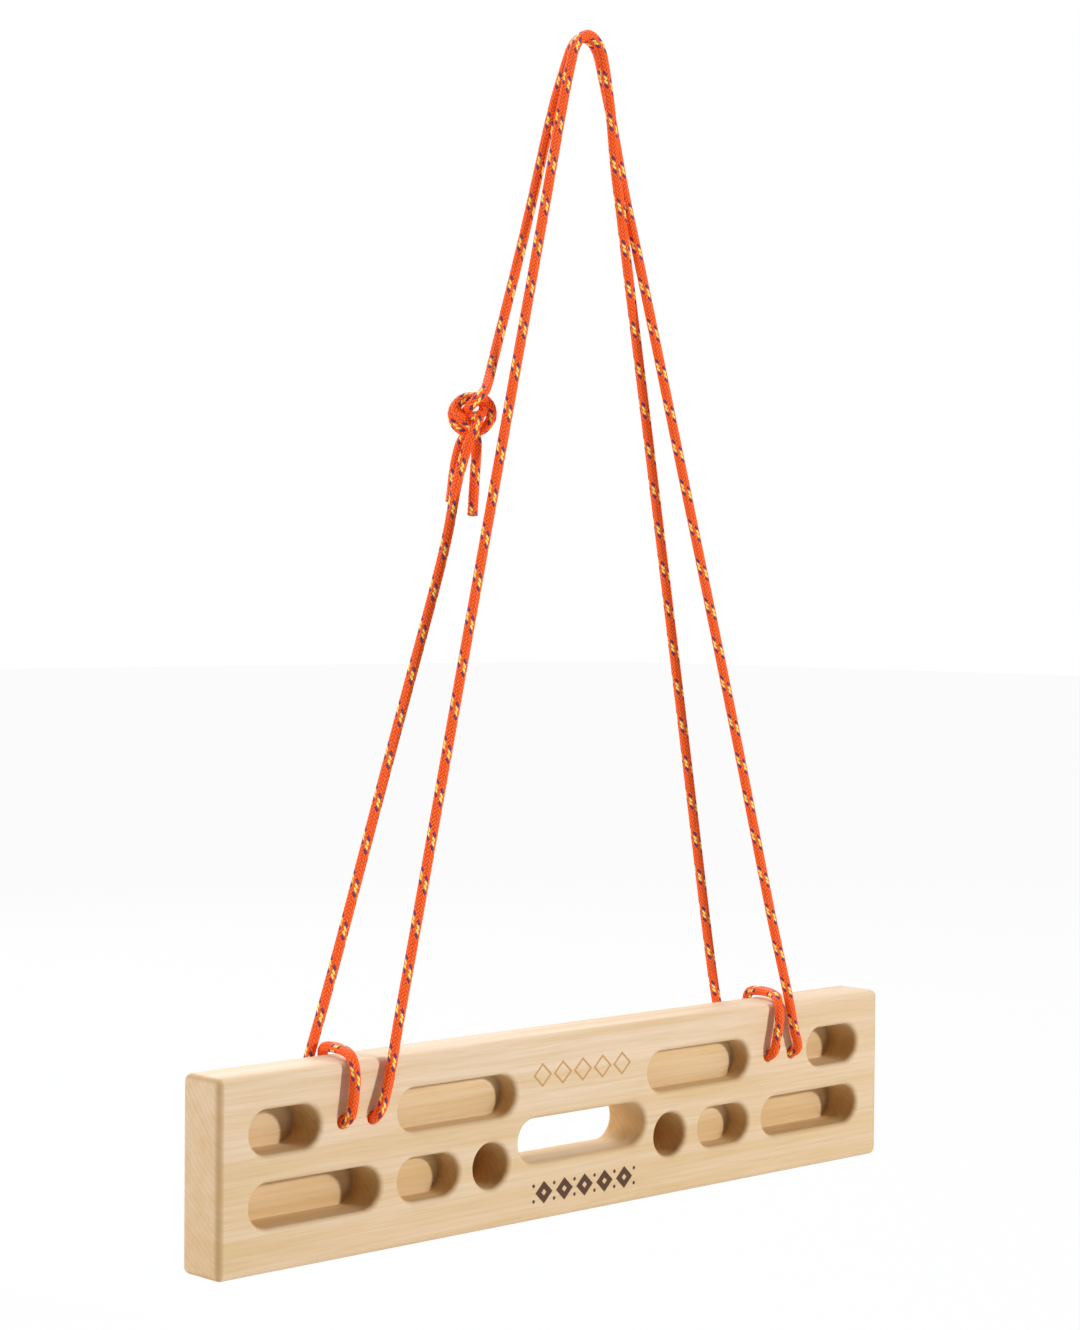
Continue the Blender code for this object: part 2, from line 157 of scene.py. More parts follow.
# Cord: one length, from the right tail's end through the knot, over the hook and through the
# board's holes, back over the hook and down to the knot again, to the left tail's end.
cordSizes = {
    "diameter": 5.5,
    "ringStep": 0.5,         # along the cord
    "sides": 44,             # round the cord
    "strands": 10,           # strands that lean each way, fewer than real ones so that they show
    "layLength": 23.0,       # length in which a strand goes once round
    "relief": 0.16,          # how far a strand stands proud of the gaps
    "meanRelief": 0.6,       # share of the relief at which the cord has its own diameter
    "sealFlare": 0.16,       # share by which a melted end is wider
    "sealLength": 2.2,
    "endRound": 0.9, "smallestEnd": 0.02,   # length of the rounded tip, and the least square of its width
    "meltedAtEnd": 1.6, "meltFade": 1.2,    # how melted the end is, and the length over which 1 of it is lost
    "stepsPerSpan": 120,     # points of the smooth line between two places of the route
}
cordRoute = {
    "rightTail": [(0.2, -55.0, -1.5), (0.9, -41.0, -0.9), (1.6, -29.0, 0.1), (2.0, -22.5, 1.0),
                  (2.2, -17.2, 1.9)],
    "coil": [(1.7, -12.3, 3.1), (-0.3, -7.9, 3.9), (-4.1, -4.7, 4.5), (-7.7, -1.4, 4.5),
             (-8.5, 3.3, 3.7), (-5.5, 7.0, 2.8), (-0.7, 8.2, 2.2), (4.2, 7.6, 1.7), (8.3, 5.0, 0.7),
             (10.0, 0.5, -0.6), (9.1, -4.2, -1.6), (5.9, -8.0, -2.3), (1.4, -9.9, -2.5),
             (-3.6, -9.8, -2.4), (-7.9, -7.5, -2.6), (-10.4, -3.2, -3.2), (-10.4, 1.7, -3.9),
             (-7.9, 5.8, -5.0), (-3.6, 8.0, -6.1), (1.2, 8.0, -7.4), (5.1, 5.7, -9.3), (5.1, 1.6, -11.8),
             (1.1, -0.9, -12.9), (-3.5, -1.4, -11.3), (-5.1, -0.3, -7.0), (-3.8, 0.8, -2.3),
             (-2.6, 1.6, 2.5), (-1.0, 3.4, 6.8), (2.2, 6.4, 8.8), (5.4, 9.9, 7.6), (7.2, 13.4, 4.6)],
    "leftBack": [(-56.0, 17.0, 364.0)],
    "backBight": [(-36.7, 13.5, -107.0), (-18.4, 10.4, -36.2), (-11.6, 8.9, -15.2), (-7.0, 8.2, -4.9),
                  (1.4, 8.2, -0.2), (9.6, 8.2, -4.6), (14.2, 8.1, -15.2), (21.3, 7.8, -39.2),
                  (28.4, 7.6, -66.2), (34.9, 7.7, -88.2), (41.4, 6.7, -111.2)],
    "rightFront": [(69.6, 2.0, 325.0), (121.6, -2.6, 143.0), (148.6, -3.6, 50.0)],
    "rightWayIn": [(-11.0, -3.9, 14.0), (-5.7, -4.4, -5.0), (-2.6, -5.0, -18.0)],
    "rightShares": [0.01, 0.04, 0.10, 0.14, 0.15, 0.18, 0.29, 0.50, 0.69, 0.79, 0.84, 0.94, 1.01],
    "rightWayOut": [(-3.8, 4.8, -14.0), (-11.0, 5.0, 15.0)],
    "rightBack": [(119.0, 30.5, 101.0), (66.8, 19.2, 318.0)],
    "frontBight": [(34.7, 9.2, -109.2), (28.2, 6.7, -88.2), (22.3, 5.0, -66.2), (16.9, 3.3, -39.2),
                   (11.0, 2.4, -15.2), (6.4, 2.2, -4.4), (-1.6, 2.2, 0.2), (-9.8, 2.2, -4.6),
                   (-14.4, 2.2, -15.2), (-20.2, 2.1, -37.2), (-35.4, 1.4, -101.2)],
    "leftFront": [(-90.4, -1.1, 213.0), (-130.2, -3.3, 49.0)],
    "leftWayIn": [(12.2, -3.8, 14.0), (8.2, -4.3, -3.0), (3.8, -5.1, -17.0)],
    "leftShares": [0.01, 0.05, 0.19, 0.32, 0.38, 0.44, 0.55, 0.69, 0.79, 0.82, 0.84, 0.90, 0.96],
    "leftWayOut": [(2.4, 5.5, -14.0), (9.6, 5.4, 8.0)],
    "lowerLeftBack": [(-149.4, 33.2, 47.0), (-124.8, 28.9, 130.0), (-99.8, 24.6, 213.0),
                      (-82.9, 22.4, 271.0)],
    "hook": [(-8.3, -39.6, 7.6), (-4.8, -26.0, 8.8), (-2.5, -18.4, 9.4), (-0.6, -13.7, 9.8),
             (1.4, -9.1, 9.8), (2.9, -4.7, 8.1), (3.5, -1.9, 4.0), (3.4, -1.6, 0.1), (3.0, -2.8, -3.7),
             (1.5, -5.9, -7.3), (-1.6, -9.4, -8.6), (-5.0, -13.0, -7.6), (-7.0, -17.2, -5.6)],
    "leftTail": [(-8.4, -22.8, -3.5), (-9.5, -29.0, -1.6), (-10.4, -37.5, 0.0), (-11.5, -48.0, 0.4)],
    "crownHeight": 541.2, "boardThickness": 30.0, "holeLine": -30.0,
    "innerHole": 151.0, "outerHole": 171.0,
    "knotCentre": (-69.5, 18.5, 334.0), "knotTurn": 43.7,
}
cordLevels = {
    "necks": (14.0, 32.0, 50.0),   # below the hanging point
    "bightBend": -5.0, "twistEnd": 140.0,   # likewise: where the sway's bend starts and the twist's ends
    "bendMargin": 1.0,             # how far each bend stays from the ends of its stretch
    "hitch": 20.0,                 # above the board's top face
    "aboveKnot": 17.0, "belowKnot": 19.0,   # from the knot's centre
}


def fromKnot(route, places):
    # place = knot's centre + right, up and front, turned about the upright by the knot's turn
    right, up, front = np.array(places, float).T
    turn = math.radians(route["knotTurn"])
    x, y, z = route["knotCentre"]
    return np.stack([x + right * math.cos(turn) - front * math.sin(turn),
                     y - right * math.sin(turn) - front * math.cos(turn), z + up], axis=1)


def hitchPlaces(route, first, second, wayIn, shares, wayOut):
    # in at the first hole, up behind, over the top edge, in at the second hole and up behind. The
    # shares say how far from the first hole to the second each place of the middle stretch lies
    back, line = route["boardThickness"], route["holeLine"]
    into = [(first + 0.3, -4.4, line + 3.5), (first, -0.8, line + 0.3), (first, 6.0, line),
            (first, back - 6.5, line)]
    turnDepth = [back + 0.6, back + 3.8, back + 3.6, back + 3.2, back + 1.3, back - 5.0, back / 2, 4.8, -1.6,
                 -4.4, -5.2, -5.3, -4.5]
    turnHeight = [line + 0.6, line + 4.6, -14.0, -3.0, 2.4, 4.2, 4.7, 4.1, 1.5, -3.8, -10.0, -19.0,
                  line + 3.6]
    over = np.stack([first + np.array(shares) * (second - first), turnDepth, turnHeight], axis=1)
    out = [(second, -0.8, line + 0.3), (second, 6.0, line), (second, back - 6.5, line),
           (second, back + 0.6, line + 0.6), (second + 0.4, back + 4.2, line + 4.6)]
    return np.concatenate([np.array(wayIn) + (first, 0, 0), into, over, out,
                           np.array(wayOut) + (second, back, 0)])


def wholeRoute(route):
    inner, outer = route["innerHole"], route["outerHole"]
    crown = np.array([0.0, 0.0, route["crownHeight"]])
    coil = np.concatenate([route["rightTail"], route["coil"]])
    hook = np.concatenate([route["hook"], route["leftTail"]])
    return np.concatenate([
        fromKnot(route, coil), route["leftBack"], np.array(route["backBight"]) + crown, route["rightFront"],
        hitchPlaces(route, outer, inner, route["rightWayIn"], route["rightShares"], route["rightWayOut"]),
        route["rightBack"], np.array(route["frontBight"]) + crown, route["leftFront"],
        hitchPlaces(route, -inner, -outer, route["leftWayIn"], route["leftShares"], route["leftWayOut"]),
        route["lowerLeftBack"], fromKnot(route, hook)])


def smoothLine(places, stepsPerSpan):
    # the natural cubic spline through the places, with spans as long as the root of each chord
    spans = np.sqrt(np.linalg.norm(np.diff(places, axis=0), axis=1))
    count = len(places)
    inner = np.arange(1, count - 1)
    system = np.eye(count)
    system[inner, inner - 1] = spans[:-1]
    system[inner, inner] = 2 * (spans[:-1] + spans[1:])
    system[inner, inner + 1] = spans[1:]
    slopes = np.diff(places, axis=0) / spans[:, None]
    wanted = np.zeros((count, 3))
    wanted[1:-1] = 6 * np.diff(slopes, axis=0)
    bend = np.linalg.solve(system, wanted)
    share = np.arange(stepsPerSpan) / stepsPerSpan
    span = spans[:, None, None]
    t = span * share[None, :, None]
    rest = span - t
    line = ((bend[:-1, None] * rest ** 3 + bend[1:, None] * t ** 3) / (6 * span)
            + (places[:-1, None] / span - bend[:-1, None] * span / 6) * rest
            + (places[1:, None] / span - bend[1:, None] * span / 6) * t)
    return np.concatenate([line.reshape(-1, 3), places[-1:]])


def levelLengths(line, along, level):
    # lengths along the cord at which it passes a height
    height = line[:, 2] - level
    i = np.nonzero(height[:-1] * height[1:] < 0)[0]
    return along[i] + height[i] / (height[i] - height[i + 1]) * (along[i + 1] - along[i])


def crossProductMatrix(v):
    # the matrix that takes any vector to its cross product with v
    zero = np.zeros(len(v))
    return np.stack([np.stack([zero, -v[:, 2], v[:, 1]], -1), np.stack([v[:, 2], zero, -v[:, 0]], -1),
                     np.stack([-v[:, 1], v[:, 0], zero], -1)], axis=1)


def cordFrames(centres):
    # side and up at each ring, across the cord's heading. Each frame is the last one turned by the
    # least turn that takes one heading to the next: the identity + the skew matrix of the headings'
    # cross product + its square over (1 + cosine). The turns are multiplied up in pairs, fours and so on
    heading = np.gradient(centres, axis=0)
    heading /= np.linalg.norm(heading, axis=1)[:, None]
    axis = np.cross(heading[:-1], heading[1:])
    cosine = (heading[:-1] * heading[1:]).sum(1)
    skew = crossProductMatrix(axis)
    turns = np.eye(3) + skew + skew @ skew / (1 + cosine)[:, None, None]
    turns = np.concatenate([np.eye(3)[None], turns])
    shift = 1
    while shift < len(turns):
        turns[shift:] = turns[shift:] @ turns[:-shift]
        shift *= 2
    firstSide = np.cross(heading[0], (0.0, 1.0, 0.0))
    firstSide /= np.linalg.norm(firstSide)
    side = turns @ firstSide
    return side, np.cross(heading, side)


def braidHeight(turns, lays, strands):
    # strands lean both ways and pass over two and under two. Each shown stretch is an oval: a
    # parabola across it times one minus the fourth power along it
    a = strands * (turns + lays)
    b = strands * (turns - lays)
    cell = np.mod(np.floor(a) + np.floor(b), 4)
    first = cell < 2
    lengthwise = np.where(first, cell + np.mod(b, 1), cell - 2 + np.mod(a, 1)) / 2
    across = np.where(first, np.mod(a, 1), np.mod(b, 1))
    return (1 - (2 * across - 1) ** 2) * (1 - (2 * lengthwise - 1) ** 4)


def cordTube(centres, side, up, along, sizes, sealed):
    # ring = centre + radius times (cosine side + sine up), radius = half the diameter plus relief
    turns = np.arange(sizes["sides"] + 1) / sizes["sides"]
    angle = 2 * np.pi * turns[:-1]
    relief = braidHeight(turns[None, :-1], along[:, None] / sizes["layLength"], sizes["strands"])
    radius = (sizes["diameter"] / 2 + sizes["relief"] * (relief - sizes["meanRelief"])) * sealed[:, None]
    ring = np.cos(angle)[None, :, None] * side[:, None] + np.sin(angle)[None, :, None] * up[:, None]
    return centres[:, None] + radius[..., None] * ring, turns


# Braided polyamide sheath: tightly laid orange yarns with two yellow and two purple ones that show
# as short runs of flecks. It reads as small plaited ovals with a soft sheen and dark gaps.
cordLook = {
    "orange": "#ff660e", "sideShadeOrange": "#ff3e02", "yellow": "#ffd968", "purple": "#643062",
    "gap": "#6e1000", "sealed": "#c4501c",
    "roughness": 0.5, "specular": 0.3,
    "bumpStrength": 0.8, "bumpDepth": 0.3,      # depth in millimetres
    "filaments": 5.0, "filamentRelief": 0.06,   # in a strand, fewer than real ones so that they show
    "shadeReach": 0.40, "shadeDepth": 0.9,      # how high up a strand the gaps' shade goes, and its most
    "glow": 0.14,   # painted light: the cord glows a little, so that it looks brighter than the lamps alone make it
}


def makeCordMaterial(look, sizes):
    material = bpy.data.materials.new("braidedPolyamideSheath")
    material.use_nodes = True
    tree = material.node_tree
    shader = tree.nodes["Principled BSDF"]
    shader.inputs["Roughness"].default_value = look["roughness"]
    shader.inputs["Specular IOR Level"].default_value = look["specular"]
    strands = float(sizes["strands"])
    surface = addNode(tree, "ShaderNodeUVMap", {"uv_map": "cordSurface"})
    split = addNode(tree, "ShaderNodeSeparateXYZ", links={0: surface})
    turns = addNode(tree, "ShaderNodeMath", {"operation": "MULTIPLY", 1: strands}, {0: split.outputs[0]})
    lays = addNode(tree, "ShaderNodeMath", {"operation": "MULTIPLY", 1: strands}, {0: split.outputs[1]})
    a = addNode(tree, "ShaderNodeMath", {"operation": "ADD"}, {0: turns, 1: lays})
    b = addNode(tree, "ShaderNodeMath", {"operation": "SUBTRACT"}, {0: turns, 1: lays})
    wholeA = addNode(tree, "ShaderNodeMath", {"operation": "FLOOR"}, {0: a})
    wholeB = addNode(tree, "ShaderNodeMath", {"operation": "FLOOR"}, {0: b})
    partA = addNode(tree, "ShaderNodeMath", {"operation": "FRACT"}, {0: a})
    partB = addNode(tree, "ShaderNodeMath", {"operation": "FRACT"}, {0: b})
    total = addNode(tree, "ShaderNodeMath", {"operation": "ADD"}, {0: wholeA, 1: wholeB})
    cell = addNode(tree, "ShaderNodeMath", {"operation": "FLOORED_MODULO", 1: 4.0}, {0: total})
    first = addNode(tree, "ShaderNodeMath", {"operation": "LESS_THAN", 1: 1.5}, {0: cell})
    # how far along and across the oval that shows here
    firstAlong = addNode(tree, "ShaderNodeMath", {"operation": "ADD"}, {0: cell, 1: partB})
    otherCell = addNode(tree, "ShaderNodeMath", {"operation": "SUBTRACT", 1: 2.0}, {0: cell})
    otherAlong = addNode(tree, "ShaderNodeMath", {"operation": "ADD"}, {0: otherCell, 1: partA})
    lengthwise = addNode(tree, "ShaderNodeMix", {"data_type": "FLOAT"},
                         {0: first, 2: otherAlong, 3: firstAlong})
    across = addNode(tree, "ShaderNodeMix", {"data_type": "FLOAT"}, {0: first, 2: partB, 3: partA})
    acrossOff = addNode(tree, "ShaderNodeMath", {"operation": "MULTIPLY_ADD", 1: 2.0, 2: -1.0}, {0: across})
    acrossSquare = addNode(tree, "ShaderNodeMath", {"operation": "POWER", 1: 2.0},
                           {0: addNode(tree, "ShaderNodeMath", {"operation": "ABSOLUTE"}, {0: acrossOff})})
    lengthOff = addNode(tree, "ShaderNodeMath", {"operation": "SUBTRACT", 1: 1.0}, {0: lengthwise})
    lengthFourth = addNode(tree, "ShaderNodeMath", {"operation": "POWER", 1: 4.0},
                           {0: addNode(tree, "ShaderNodeMath", {"operation": "ABSOLUTE"}, {0: lengthOff})})
    acrossHeight = addNode(tree, "ShaderNodeMath", {"operation": "SUBTRACT", 0: 1.0}, {1: acrossSquare})
    lengthHeight = addNode(tree, "ShaderNodeMath", {"operation": "SUBTRACT", 0: 1.0}, {1: lengthFourth})
    height = addNode(tree, "ShaderNodeMath", {"operation": "MULTIPLY"}, {0: acrossHeight, 1: lengthHeight})
    # the four coloured strands lie side by side in the first family: purple, yellow, yellow, purple
    strand = addNode(tree, "ShaderNodeMath", {"operation": "FLOORED_MODULO", 1: strands}, {0: wholeA})
    coloured = addNode(tree, "ShaderNodeMath", {"operation": "COMPARE", 1: 1.5, 2: 1.7}, {0: strand})
    yellow = addNode(tree, "ShaderNodeMath", {"operation": "COMPARE", 1: 1.5, 2: 0.7}, {0: strand})
    showsColour = addNode(tree, "ShaderNodeMath", {"operation": "MULTIPLY"}, {0: coloured, 1: first})
    showsYellow = addNode(tree, "ShaderNodeMath", {"operation": "MULTIPLY"}, {0: yellow, 1: first})
    # painted shade: a strand is darker orange at its sides and plain orange along its crown, as a rounded
    # strand shades
    crown = addNode(tree, "ShaderNodeMath", {"operation": "POWER", 1: 0.5}, {0: height})
    base = addNode(tree, "ShaderNodeMix", {
        "data_type": "RGBA", 6: toLinear(look["sideShadeOrange"]), 7: toLinear(look["orange"])}, {0: crown})
    purpled = addNode(tree, "ShaderNodeMix", {"data_type": "RGBA", 7: toLinear(look["purple"])},
                      {0: showsColour, 6: base})
    yellowed = addNode(tree, "ShaderNodeMix", {"data_type": "RGBA", 7: toLinear(look["yellow"])},
                       {0: showsYellow, 6: purpled})
    # the gaps between strands are in shade
    shade = addNode(tree, "ShaderNodeMapRange", {
        "From Min": 0.0, "From Max": look["shadeReach"], "To Min": look["shadeDepth"], "To Max": 0.0},
        {"Value": height})
    gapped = addNode(tree, "ShaderNodeMix", {"data_type": "RGBA", 7: toLinear(look["gap"])},
                     {0: shade, 6: yellowed})
    melt = addNode(tree, "ShaderNodeAttribute", {"attribute_name": "melted"})
    colour = addNode(tree, "ShaderNodeMix", {"data_type": "RGBA", 7: toLinear(look["sealed"])},
                     {0: melt.outputs["Fac"], 6: gapped})
    tree.links.new(shownOutput(colour), shader.inputs["Base Color"])
    # painted light: the cord's colour is also given out as a faint glow
    tree.links.new(shownOutput(colour), shader.inputs["Emission Color"])
    shader.inputs["Emission Strength"].default_value = look["glow"]
    # fine filaments run along each strand
    wave = addNode(tree, "ShaderNodeMath", {"operation": "MULTIPLY", 1: 2 * math.pi * look["filaments"]},
                   {0: across})
    filament = addNode(tree, "ShaderNodeMath", {"operation": "SINE"}, {0: wave})
    surfaceHeight = addNode(tree, "ShaderNodeMath", {"operation": "MULTIPLY_ADD", 1: look["filamentRelief"]},
                            {0: filament, 2: height})
    bump = addNode(tree, "ShaderNodeBump", {
        "Strength": look["bumpStrength"], "Distance": look["bumpDepth"] / 1000.0}, {"Height": surfaceHeight})
    tree.links.new(bump.outputs[0], shader.inputs["Normal"])
    return material


def nodeName(pieceName):
    # each piece of the cord has its node's name: leftBackLegUpper stands for left_back_leg_upper
    return "".join("_" + letter.lower() if letter.isupper() else letter for letter in pieceName)


def makeCord(route, sizes, levels, material):
    # the smooth line is cut into stretches, and each is a tube that shares its end rings' places with
    # the next; the tips are flared, rounded and marked as melted by their distance from the cord's end
    line = smoothLine(wholeRoute(route), sizes["stepsPerSpan"])
    along = np.concatenate([[0.0], np.cumsum(np.linalg.norm(np.diff(line, axis=0), axis=1))])
    total = along[-1]
    hang = hangingPoint[2]
    neckTop, neckMiddle, neckEnd = (levelLengths(line, along, hang - level) for level in levels["necks"])
    hitch = levelLengths(line, along, levels["hitch"])
    aboveKnot = levelLengths(line, along, route["knotCentre"][2] + levels["aboveKnot"])
    belowKnot = levelLengths(line, along, route["knotCentre"][2] - levels["belowKnot"])
    # piece, where it starts, and the bodies that it follows
    board, link, swing, hook = "hanging_board", "sway_link", "swing_link", "hook_bights"
    stretches = [
        ("knotRightTail", 0.0, (board,)),
        ("knotCoil", belowKnot[0], (board,)),
        ("leftBackLegUpper", aboveKnot[0], (swing, board)),
        ("leftBackLowerNeck", neckEnd[0], (swing,)),
        ("leftBackUpperNeck", neckMiddle[0], (link, swing)),
        ("backBight", neckTop[0], (hook, link)),
        ("rightFrontUpperNeck", neckTop[1], (link, swing)),
        ("rightFrontLowerNeck", neckMiddle[1], (swing,)),
        ("rightFrontLeg", neckEnd[1], (swing, board)),
        ("rightHitch", hitch[0], (board,)),
        ("rightBackLeg", hitch[1], (swing, board)),
        ("rightBackLowerNeck", neckEnd[2], (swing,)),
        ("rightBackUpperNeck", neckMiddle[2], (link, swing)),
        ("frontBight", neckTop[2], (hook, link)),
        ("leftFrontUpperNeck", neckTop[3], (link, swing)),
        ("leftFrontLowerNeck", neckMiddle[3], (swing,)),
        ("leftFrontLeg", neckEnd[3], (swing, board)),
        ("leftHitch", hitch[2], (board,)),
        ("leftBackLegLower", hitch[3], (board,)),
        ("knotHook", belowKnot[4], (board,)),
        ("knotLeftTail", belowKnot[5], (board,)),
        ("end", total, ()),
    ]
    # each stretch ends as near to its pivot as it can, since the further a bend is the more the joint
    # draws the cord out; a stretch with one body follows it, and one with two stays where it is made
    evenly = np.linspace(0.0, total, int(total / sizes["ringStep"]))
    lengths = np.unique(np.concatenate([evenly, [start for _, start, _ in stretches]]))
    centres = np.stack([np.interp(lengths, along, line[:, k]) for k in range(3)], axis=1)
    side, up = cordFrames(centres)
    fromEnd = np.minimum(lengths, total - lengths)
    flare = 1 + sizes["sealFlare"] * np.clip(1 - fromEnd / sizes["sealLength"], 0, 1) ** 2
    tip = np.clip(fromEnd / sizes["endRound"], 0, 1)
    rounded = np.sqrt(np.clip(1 - (1 - tip) ** 2, sizes["smallestEnd"], 1))
    melted = np.clip(sizes["meltedAtEnd"] - fromEnd / sizes["meltFade"], 0, 1)
    pieces = {}
    for (name, start, bodies), (_, end, _) in zip(stretches, stretches[1:]):
        part = (lengths >= start) & (lengths <= end)
        tube, turns = cordTube(centres[part], side[part], up[part], lengths[part], sizes,
                               (flare * rounded)[part])
        mesh = gridMesh(name, toWorld(tube), uv=(turns, lengths[part] / sizes["layLength"]))
        attribute = mesh.attributes.new("melted", "FLOAT", "POINT")
        attribute.data.foreach_set("value", np.repeat(melted[part], sizes["sides"]).astype(np.float32))
        piece = showPiece(name, mesh, material)
        if len(bodies) == 1:
            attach(piece, bodies[0])
        else:
            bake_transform(piece)
        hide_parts(nodeName(name))
        pieces[name] = (piece, toWorld(centres[part]), lengths[part][-1] - lengths[part][0])
    quads = sum(len(piece.data.polygons) for piece, _, _ in pieces.values())
    print("cord made,", round(total), "mm,", quads * 2, "triangles")
    return pieces


cordMaterial = makeCordMaterial(cordLook, cordSizes)
cordPieces = makeCord(cordRoute, cordSizes, cordLevels, cordMaterial)

# How each stretch of the one cord ends and lies, and the short necks that go with it. A tail
# starts at the knot and ends free; every other stretch goes on into the next one.
cordLays = {
    "backBight": ("object", "taut", ["leftBackLowerNeck", "leftBackUpperNeck", "rightFrontUpperNeck",
                                     "rightFrontLowerNeck"]),
    "frontBight": ("object", "taut", ["rightBackLowerNeck", "rightBackUpperNeck", "leftFrontUpperNeck",
                                      "leftFrontLowerNeck"]),
    "leftBackLegUpper": ("object", "taut", []),
    "rightFrontLeg": ("object", "taut", []),
    "rightHitch": ("object", "taut", []),
    "rightBackLeg": ("object", "taut", []),
    "leftFrontLeg": ("object", "taut", []),
    "leftHitch": ("object", "taut", []),
    "leftBackLegLower": ("knot", "taut", []),
    "knotCoil": ("knot", "coiled", []),
    "knotHook": ("knot", "taut", ["knotLeftTail"]),
    "knotRightTail": ("bare", "hanging", []),
}


def declareCords(pieces, lays):
    for name, (farEnd, lay, riders) in lays.items():
        piece, path, length = pieces[name]
        path = path[::-1] if farEnd == "bare" else path
        print("cord stretch", name, round(length), "mm")


declareCords(cordPieces, cordLays)


# Board: a thick plank with every edge eased, blind pockets and monos in two rows, one slot and
# two pairs of cord holes cut right through.
boardSizes = {
    "length": 500.0, "height": 100.0, "thickness": 30.0,
    "edgeRadius": 4.0, "edgeSteps": 8,
    "lipRadius": 3.0, "holeLipRadius": 1.2, "lipTurn": 84.0, "lipSteps": 7, "endSteps": 24,
    "floorRadius": 1.0, "floorSteps": 3, "floorEdgeShadeWidth": 4.0,
    "cutProud": 0.2,         # how far each cutter stands out of the face that it cuts
    "routedFrom": 2.0,       # depth below the faces at which a surface is wholly a routed one
    "sharpAngle": 35.0, "normalWeight": 80,
    "holeRow": -30.0, "holeDiameter": 7.0,
    # low and high x on the right half, row, height, depth
    "pockets": [(51.0, 133.6, -29.5, 22.6, 12.0), (186.0, 230.2, -29.5, 22.6, 21.5),
                (56.4, 80.8, -66.0, 24.4, 24.0), (92.0, 133.6, -66.0, 22.6, 15.0),
                (146.2, 230.2, -66.0, 22.6, 21.5)],
    "slot": (-48.2, 48.2, -56.4, 23.7),
    "holes": (151.0, 171.0),
}


def roundedBlock(low, high, radius, steps):
    # corner centre (the box's corner pulled in by the radius, one for each quarter turn and half)
    # + radius times (cosine latitude cosine longitude, cosine latitude sine longitude, sine latitude)
    quarter = np.linspace(0, np.pi / 2, steps + 1)
    longitude = (np.arange(4)[:, None] * np.pi / 2 + quarter).ravel()
    signX = np.repeat([1, -1, -1, 1], steps + 1)
    signY = np.repeat([1, 1, -1, -1], steps + 1)
    latitude = np.concatenate([quarter - np.pi / 2, quarter])[:, None]
    signZ = np.repeat([-1, 1], steps + 1)[:, None]
    middle, half = (high + low) / 2, (high - low) / 2 - radius
    x = middle[0] + signX * half[0] + radius * np.cos(latitude) * np.cos(longitude)
    y = middle[1] + signY * half[1] + radius * np.cos(latitude) * np.sin(longitude)
    z = middle[2] + signZ * half[2] + radius * np.sin(latitude) + 0 * longitude
    return np.stack([x, y, z], axis=-1)


def openingRings(sizes, lip, depth):
    # widening and depth of each ring: a quarter round lip, the straight wall, then a small fillet at
    # the floor and a ring further in on it, or a second lip where the opening runs through
    turn = math.radians(sizes["lipTurn"])
    angle = np.linspace(turn, 0, sizes["lipSteps"] + 1)
    widen, sink = lip * (1 - np.cos(angle)), lip * (1 - np.sin(angle))
    above = sizes["cutProud"]
    widen = np.concatenate([[widen[0] + (sink[0] + above) * math.tan(turn)], widen])
    sink = np.concatenate([[-above], sink])
    if depth is None:
        return np.concatenate([widen, widen[::-1]]), np.concatenate([sink, sizes["thickness"] - sink[::-1]])
    fillet = sizes["floorRadius"]
    bend = np.linspace(0, np.pi / 2, sizes["floorSteps"] + 1)
    return (np.concatenate([widen, fillet * (np.cos(bend) - 1), [-fillet - sizes["floorEdgeShadeWidth"]]]),
            np.concatenate([sink, depth - fillet + fillet * np.sin(bend), [depth]]))


def floorEdgeShadeShares(corners, sizes, places):
    # painted shade on each floor next to its end walls: share = how near the floor's level (over the
    # fillet's radius) times how near the floor's outline (over the shade's width) times how far the
    # outline faces along the board
    shares = np.zeros(len(corners))
    for low, high, row, height, _, depth in places:
        if depth is None:
            continue
        reach = height / 2
        beyond = np.maximum(np.abs(corners[:, 0] - (low + high) / 2) - ((high - low) / 2 - reach), 0)
        away = np.hypot(beyond, corners[:, 2] - row)
        level = np.clip((corners[:, 1] - depth) / sizes["floorRadius"] + 1, 0, 1)
        near = np.clip(1 - (reach - sizes["floorRadius"] - away) / sizes["floorEdgeShadeWidth"], 0, 1)
        shares = np.where(away < reach + 0.1, level * near * beyond / np.maximum(away, 0.1), shares)
    return shares


def openingSurface(sizes, low, high, row, height, lip, depth):
    # the long hole's outline (a half circle about each end) widened and sunk ring by ring
    widen, sink = openingRings(sizes, lip, depth)
    half = np.linspace(-np.pi / 2, np.pi / 2, sizes["endSteps"] + 1)
    angle = np.concatenate([half, half + np.pi])
    endX = np.repeat([high - height / 2, low + height / 2], sizes["endSteps"] + 1)
    radius = height / 2 + widen[:, None]
    x = endX + radius * np.cos(angle)
    z = row + radius * np.sin(angle)
    return np.stack([x, np.repeat(sink[:, None], len(angle), axis=1), z], axis=-1)


def closedMesh(name, points):
    # the grid with its doubled points merged and its normals outwards
    mesh = gridMesh(name, toWorld(points))
    shape = bmesh.new()
    shape.from_mesh(mesh)
    bmesh.ops.remove_doubles(shape, verts=shape.verts, dist=1e-6)
    bmesh.ops.recalc_face_normals(shape, faces=shape.faces)
    shape.to_mesh(mesh)
    shape.free()
    return mesh


